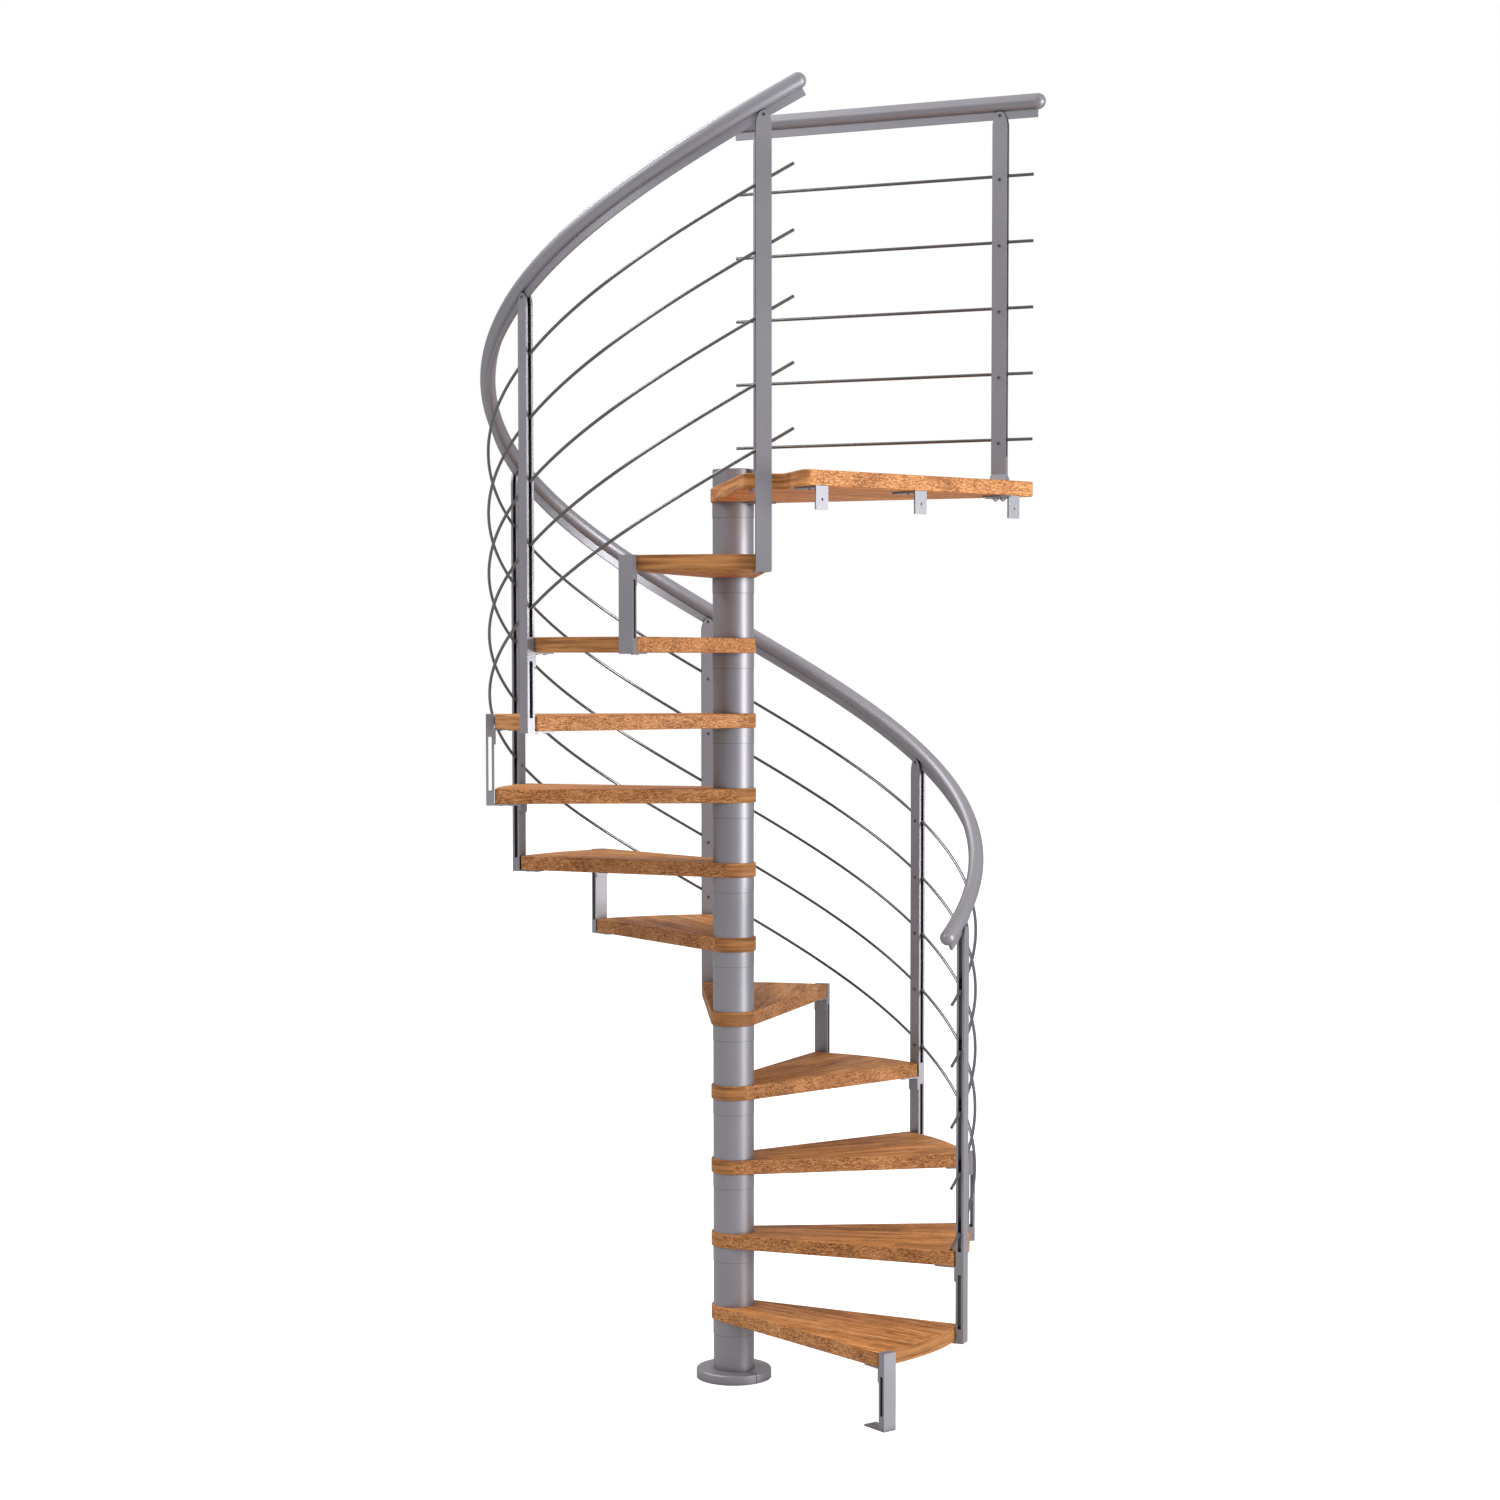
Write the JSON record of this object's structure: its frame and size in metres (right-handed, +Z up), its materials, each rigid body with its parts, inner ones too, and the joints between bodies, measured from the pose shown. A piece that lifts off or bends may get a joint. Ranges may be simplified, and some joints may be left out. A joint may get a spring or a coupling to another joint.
{
  "type": "spiral staircase",
  "caption": "Spiral staircase with wedge-shaped wooden treads around a metal pole, slotted flat-bar balusters, curved rods and handrail, and a railed top platform.",
  "frame": {"origin": "on the pole's axis, on the floor under the base flange", "axes": "+Z up along the pole; the picture looks along +Y with +X to the right, and the stair climbs anticlockwise seen from above"},
  "size_m": [1.5198, 1.4485, 3.5065],
  "materials": {
    "wood": "oiled oak, satin",
    "paint": "silver grey powder coat, satin",
    "steel": "polished stainless",
    "zinc": "bright zinc plate"
  },
  "bodies": {
    "root": {"base_cover": "paint", "base_flange": "paint", "centre_tube": "paint", "floor_foot": "paint", "floor_post": "paint", "floor_tie_left": "zinc", "floor_tie_middle": "zinc", "floor_tie_right": "zinc", "guard_plates": "paint", "guard_post_inner": "paint", "guard_post_outer": "paint", "guard_rail": "paint", "guard_rods": "steel", "handrail": "paint", "height_rings": "paint", "lower_brackets": "paint", "platform": "wood", "pole_cap": "paint", "pole_sleeves": "paint", "rail_caps": "paint", "short_balusters": "paint", "stair_rod_1": "steel", "stair_rod_2": "steel", "stair_rod_3": "steel", "stair_rod_4": "steel", "stair_rod_5": "steel", "tall_baluster_02": "paint", "tall_baluster_04": "paint", "tall_baluster_06": "paint", "tall_baluster_08": "paint", "tall_baluster_10": "paint", "tall_baluster_12": "paint", "tread_01": "wood", "tread_02": "wood", "tread_03": "wood", "tread_04": "wood", "tread_05": "wood", "tread_06": "wood", "tread_07": "wood", "tread_08": "wood", "tread_09": "wood", "tread_10": "wood", "tread_11": "wood", "upper_brackets": "paint"}
  },
  "joints": []
}
